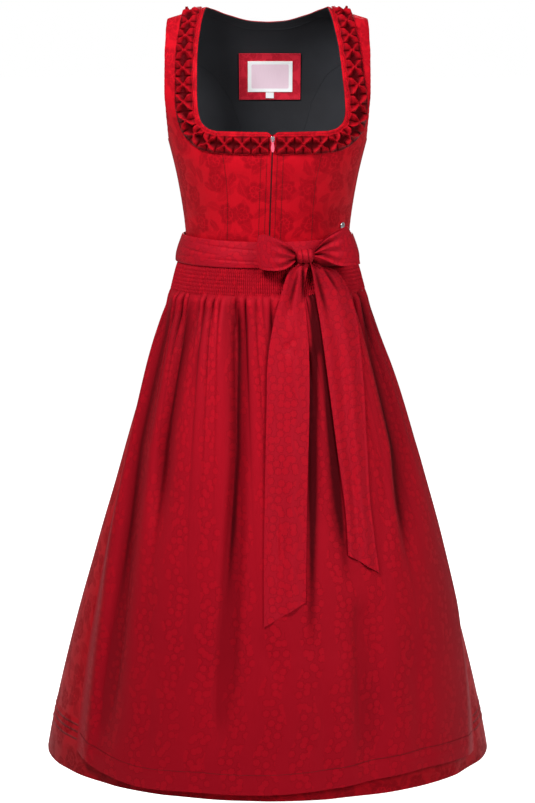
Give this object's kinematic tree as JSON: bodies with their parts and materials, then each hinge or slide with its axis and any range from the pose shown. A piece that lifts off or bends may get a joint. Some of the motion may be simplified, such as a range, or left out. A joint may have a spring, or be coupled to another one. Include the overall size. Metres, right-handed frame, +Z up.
{
  "type": "dirndl",
  "caption": "Sleeveless midi dirndl with square neckline, folded star trim, zipped bodice, gathered skirt and an apron tied in a bow, hanging as worn with its hollow open.",
  "frame": {"origin": "midway between the two shoulder seams, at the height where the neck edge crosses them, where the wearer's shoulders hold the dress", "axes": "+Z up along the dress, -Y out of its front, +X towards the wearer's left"},
  "size_m": [0.6372, 0.5218, 1.0575],
  "materials": {
    "dress_cloth": "red satin jacquard with tone-on-tone leaves and flowers",
    "trim_cloth": "red satin ribbon folded into stars",
    "apron_cloth": "darker red jacquard with upright rows of small ring flowers",
    "lining_cloth": "plain black lining",
    "zip_tape": "woven zip tape with a closed chain",
    "zip_metal": "small polished zip slider",
    "pull_enamel": "pink-red lacquered pull tab",
    "badge_metal": "small round bare metal badge",
    "label_cloth": "woven pink label with a white border, left bare",
    "tag_cloth": "white woven tag, left bare"
  },
  "bodies": {
    "dress": {"bodice_front_left": "dress_cloth", "bodice_front_right": "dress_cloth", "bodice_centre_back": "dress_cloth", "bodice_side_front_left": "dress_cloth", "bodice_side_front_right": "dress_cloth", "bodice_side_back_left": "dress_cloth", "bodice_side_back_right": "dress_cloth", "skirt_front": "dress_cloth", "skirt_back": "dress_cloth", "neck_trim_left": "trim_cloth", "neck_trim_right": "trim_cloth", "lining_front_left": "lining_cloth", "lining_front_right": "lining_cloth", "lining_centre_back": "lining_cloth", "lining_side_front_left": "lining_cloth", "lining_side_front_right": "lining_cloth", "lining_side_back_left": "lining_cloth", "lining_side_back_right": "lining_cloth", "apron": "apron_cloth", "tie_wrap_front": "apron_cloth", "tie_wrap_back": "apron_cloth", "bow_knot": "apron_cloth", "bow_loop_left": "apron_cloth", "bow_loop_right": "apron_cloth", "bow_tail_left": "apron_cloth", "bow_tail_right": "apron_cloth", "zip_tape": "zip_tape", "zip_slider": "zip_metal", "badge": "badge_metal", "label_patch": "dress_cloth", "label": "label_cloth", "size_tag": "tag_cloth"},
    "pull_tab": {"zip_pull": "pull_enamel"}
  },
  "joints": [
    {"name": "pull_hinge", "type": "hinge", "parent": "dress", "child": "pull_tab", "pos_m": [0.00696, -0.12127, -0.17612], "axis": [-0.9997, -0.0263, 0], "range_deg": [0, 165]}
  ]
}
